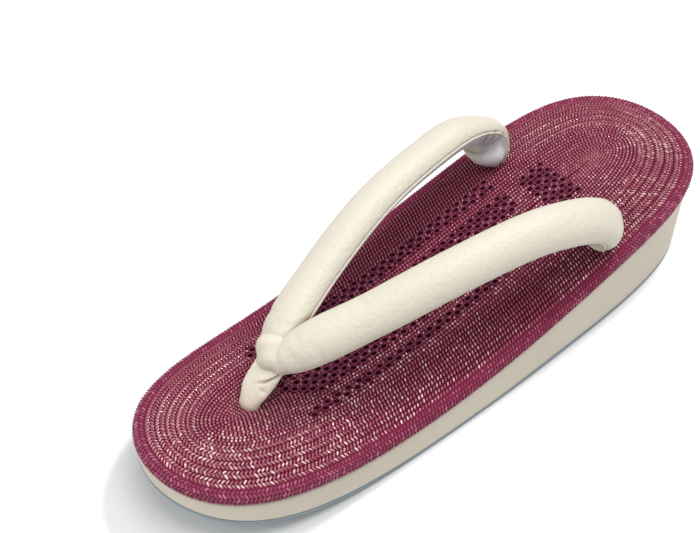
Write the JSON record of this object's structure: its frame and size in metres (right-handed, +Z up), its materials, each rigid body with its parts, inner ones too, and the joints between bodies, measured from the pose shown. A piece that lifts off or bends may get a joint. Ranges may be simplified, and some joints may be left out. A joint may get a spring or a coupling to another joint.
{
  "type": "zori sandal",
  "caption": "Zori sandal with a low wedge sole, a woven padded top with a rolled edge, and padded V straps joined to a toe post.",
  "frame": {"origin": "on the ground, under the middle of the bounding box", "axes": "+Z up, +Y towards the heel, -Y towards the toe, +X to the wearer's right"},
  "size_m": [0.08, 0.24, 0.0604],
  "materials": {
    "outsole": "matte, fine grained",
    "sole_leather": "matte cream leather",
    "woven_cover": "glossy woven yarn",
    "strap_leather": "satin cream leather, fine grain",
    "toe_band": "fine ribbed cream band"
  },
  "bodies": {
    "root": {"outsole": "outsole", "sole_wedge": "sole_leather", "top_cover": "woven_cover", "straps": "strap_leather", "toe_post": "toe_band"}
  },
  "joints": []
}
